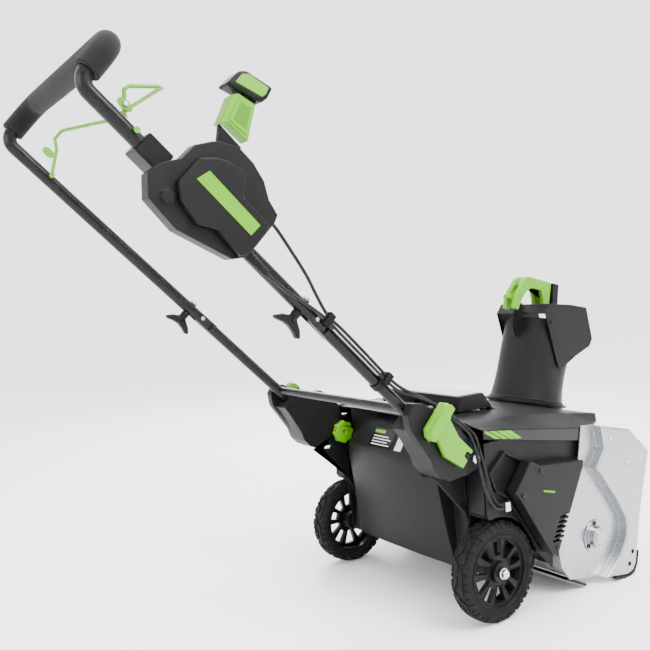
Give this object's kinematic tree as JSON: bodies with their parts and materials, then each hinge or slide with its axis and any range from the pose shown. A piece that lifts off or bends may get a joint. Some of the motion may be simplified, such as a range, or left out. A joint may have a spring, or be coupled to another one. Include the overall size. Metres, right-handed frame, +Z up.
{
  "type": "snow blower",
  "caption": "Battery single-stage snow blower: open auger housing with rubber paddles, turning chute with tilting deflector, two wheels and a folding looped handle with bail and control head.",
  "frame": {"origin": "on the ground, midway between the machine's furthest points front and back, on its middle plane", "axes": "+Y forward to the auger, +X to the operator's right, +Z up"},
  "size_m": [0.58, 1.3313, 1.0816],
  "materials": {
    "silver_sheet": "satin metallic powder coat",
    "charcoal_plastic": "fine textured moulded plastic",
    "black_plastic": "satin moulded plastic",
    "black_metal": "semi-gloss powder coat",
    "lime_plastic": "satin moulded plastic",
    "lime_metal": "gloss powder coat",
    "grip_foam": "closed-cell foam",
    "tyre_rubber": "moulded rubber tread",
    "black_rubber": "smooth rubber",
    "cable_jacket": "smooth cable jacket",
    "bright_steel": "zinc plated steel"
  },
  "bodies": {
    "root": {"auger_housing": "silver_sheet", "side_plate_right": "silver_sheet", "side_plate_left": "silver_sheet", "scraper_bar": "black_plastic", "skid_strips": "black_plastic", "bearing_caps": "silver_sheet", "auger_bearings": "bright_steel", "lower_body": "charcoal_plastic", "hood": "charcoal_plastic", "battery_tray": "black_plastic", "battery": "black_plastic", "rear_panel": "charcoal_plastic", "bracket_right": "charcoal_plastic", "bracket_left": "charcoal_plastic", "controller_case": "charcoal_plastic", "controller_cover": "charcoal_plastic", "belt_cover": "charcoal_plastic", "drive_belt": "black_rubber", "motor": "black_metal", "wheel_axle": "bright_steel", "axle_bolts": "bright_steel", "chute_ring": "black_plastic", "cable_stop": "bright_steel", "body_screws": "black_metal", "pivot_bolts": "bright_steel", "cables_lower": "cable_jacket"},
    "wheel_right": {"tyre_right": "tyre_rubber", "rim_right": "black_plastic"},
    "wheel_left": {"tyre_left": "tyre_rubber", "rim_left": "black_plastic"},
    "auger": {"auger_shaft": "bright_steel", "auger_paddles": "black_rubber", "auger_pulley": "bright_steel"},
    "motor_rotor": {"motor_rotor": "bright_steel"},
    "chute": {"chute": "charcoal_plastic"},
    "deflector": {"deflector": "charcoal_plastic", "deflector_handle": "lime_plastic"},
    "deflector_trigger": {"deflector_trigger": "lime_plastic"},
    "battery_lid": {"battery_lid": "charcoal_plastic"},
    "lower_handle": {"lower_tube_right": "black_metal", "lower_tube_left": "black_metal", "lower_crossbar": "black_metal", "cable_clip_lower": "black_plastic"},
    "latch_right": {"latch_lever_right": "lime_plastic"},
    "latch_left": {"latch_lever_left": "lime_plastic"},
    "pivot_knob_right": {"pivot_knob_right": "lime_plastic"},
    "pivot_knob_left": {"pivot_knob_left": "lime_plastic"},
    "upper_handle": {"upper_handle": "black_metal", "foam_grip": "grip_foam", "fold_bolts": "bright_steel", "head_base": "charcoal_plastic", "head_cover": "charcoal_plastic", "switch_box": "black_plastic", "cable_clip_upper": "black_plastic", "cables_upper": "cable_jacket"},
    "wing_knob_right": {"wing_knob_right": "charcoal_plastic"},
    "wing_knob_left": {"wing_knob_left": "charcoal_plastic"},
    "bail": {"bail": "lime_metal"},
    "chute_lever": {"chute_lever": "lime_plastic"},
    "start_button": {"start_button": "lime_plastic"}
  },
  "joints": [
    {"name": "wheel_right_spin", "type": "hinge", "parent": "root", "child": "wheel_right", "pos_m": [0.2395, 0.0978, 0.1015], "axis": [1, 0, 0], "continuous": true},
    {"name": "wheel_left_spin", "type": "hinge", "parent": "root", "child": "wheel_left", "pos_m": [-0.2395, 0.0978, 0.1015], "axis": [1, 0, 0], "continuous": true},
    {"name": "auger_spin", "type": "hinge", "parent": "root", "child": "auger", "pos_m": [0, 0.3878, 0.109], "axis": [1, 0, 0], "continuous": true},
    {"name": "motor_spin", "type": "hinge", "parent": "root", "child": "motor_rotor", "pos_m": [0, 0.2258, 0.215], "axis": [1, 0, 0], "continuous": true},
    {"name": "chute_turn", "type": "hinge", "parent": "root", "child": "chute", "pos_m": [0, 0.4918, 0.37], "axis": [0, 0.225, 0.9744], "range_deg": [-90, 90]},
    {"name": "deflector_tilt", "type": "hinge", "parent": "chute", "child": "deflector", "pos_m": [0, 0.50666, 0.56773], "axis": [1, 0, 0], "range_deg": [-12, 20]},
    {"name": "deflector_trigger", "type": "hinge", "parent": "deflector", "child": "deflector_trigger", "pos_m": [0, 0.46424, 0.63294], "axis": [-1, 0, 0], "range_deg": [0, 10], "stiffness_Nm_per_rad": 0.4, "springref_deg": -5.73},
    {"name": "lid_open", "type": "hinge", "parent": "root", "child": "battery_lid", "pos_m": [0, 0.2428, 0.393], "axis": [-1, 0, 0], "range_deg": [0, 85]},
    {"name": "lower_fold", "type": "hinge", "parent": "root", "child": "lower_handle", "pos_m": [0, 0.04758, 0.33782], "axis": [-1, 0, 0], "range_deg": [0, 35], "deforming": ["cables_lower"]},
    {"name": "latch_right_swing", "type": "hinge", "parent": "root", "child": "latch_right", "pos_m": [0.26, 0.0121, 0.34427], "axis": [0, 0.6947, 0.7193], "range_deg": [0, 60], "stiffness_Nm_per_rad": 0.3, "springref_deg": -11.46},
    {"name": "latch_left_swing", "type": "hinge", "parent": "root", "child": "latch_left", "pos_m": [-0.26, 0.0121, 0.34427], "axis": [0, -0.6947, -0.7193], "range_deg": [0, 60], "stiffness_Nm_per_rad": 0.3, "springref_deg": -11.46},
    {"name": "pivot_knob_right_turn", "type": "hinge", "parent": "root", "child": "pivot_knob_right", "pos_m": [0.18, 0.04758, 0.33782], "axis": [1, 0, 0], "continuous": true},
    {"name": "pivot_knob_left_turn", "type": "hinge", "parent": "root", "child": "pivot_knob_left", "pos_m": [-0.18, 0.04758, 0.33782], "axis": [1, 0, 0], "continuous": true},
    {"name": "upper_fold", "type": "hinge", "parent": "lower_handle", "child": "upper_handle", "pos_m": [0, -0.28642, 0.63256], "axis": [-1, 0, 0], "range_deg": [0, 120], "deforming": ["cables_upper"]},
    {"name": "wing_knob_right_turn", "type": "hinge", "parent": "upper_handle", "child": "wing_knob_right", "pos_m": [0.22, -0.31088, 0.65618], "axis": [0, 0.6947, 0.7193], "continuous": true},
    {"name": "wing_knob_left_turn", "type": "hinge", "parent": "upper_handle", "child": "wing_knob_left", "pos_m": [-0.22, -0.31088, 0.65618], "axis": [0, 0.6947, 0.7193], "continuous": true},
    {"name": "bail_squeeze", "type": "hinge", "parent": "upper_handle", "child": "bail", "pos_m": [0, -0.58579, 0.92861], "axis": [1, 0, 0], "range_deg": [0, 30], "stiffness_Nm_per_rad": 1.2, "springref_deg": -20.05},
    {"name": "chute_lever_swing", "type": "hinge", "parent": "upper_handle", "child": "chute_lever", "pos_m": [0.24, -0.48114, 0.8484], "axis": [1, 0, 0], "range_deg": [-30, 30]},
    {"name": "start_button_press", "type": "slide", "parent": "upper_handle", "child": "start_button", "axis": [1, 0, 0], "range_m": [0, 0.0025], "stiffness_N_per_m": 300, "springref_m": -0.002}
  ],
  "couplings": [
    {"joint": "motor_spin", "follows": "auger_spin", "ratio": 2.8235},
    {"joint": "chute_lever_swing", "follows": "chute_turn", "ratio": 0.33}
  ]
}
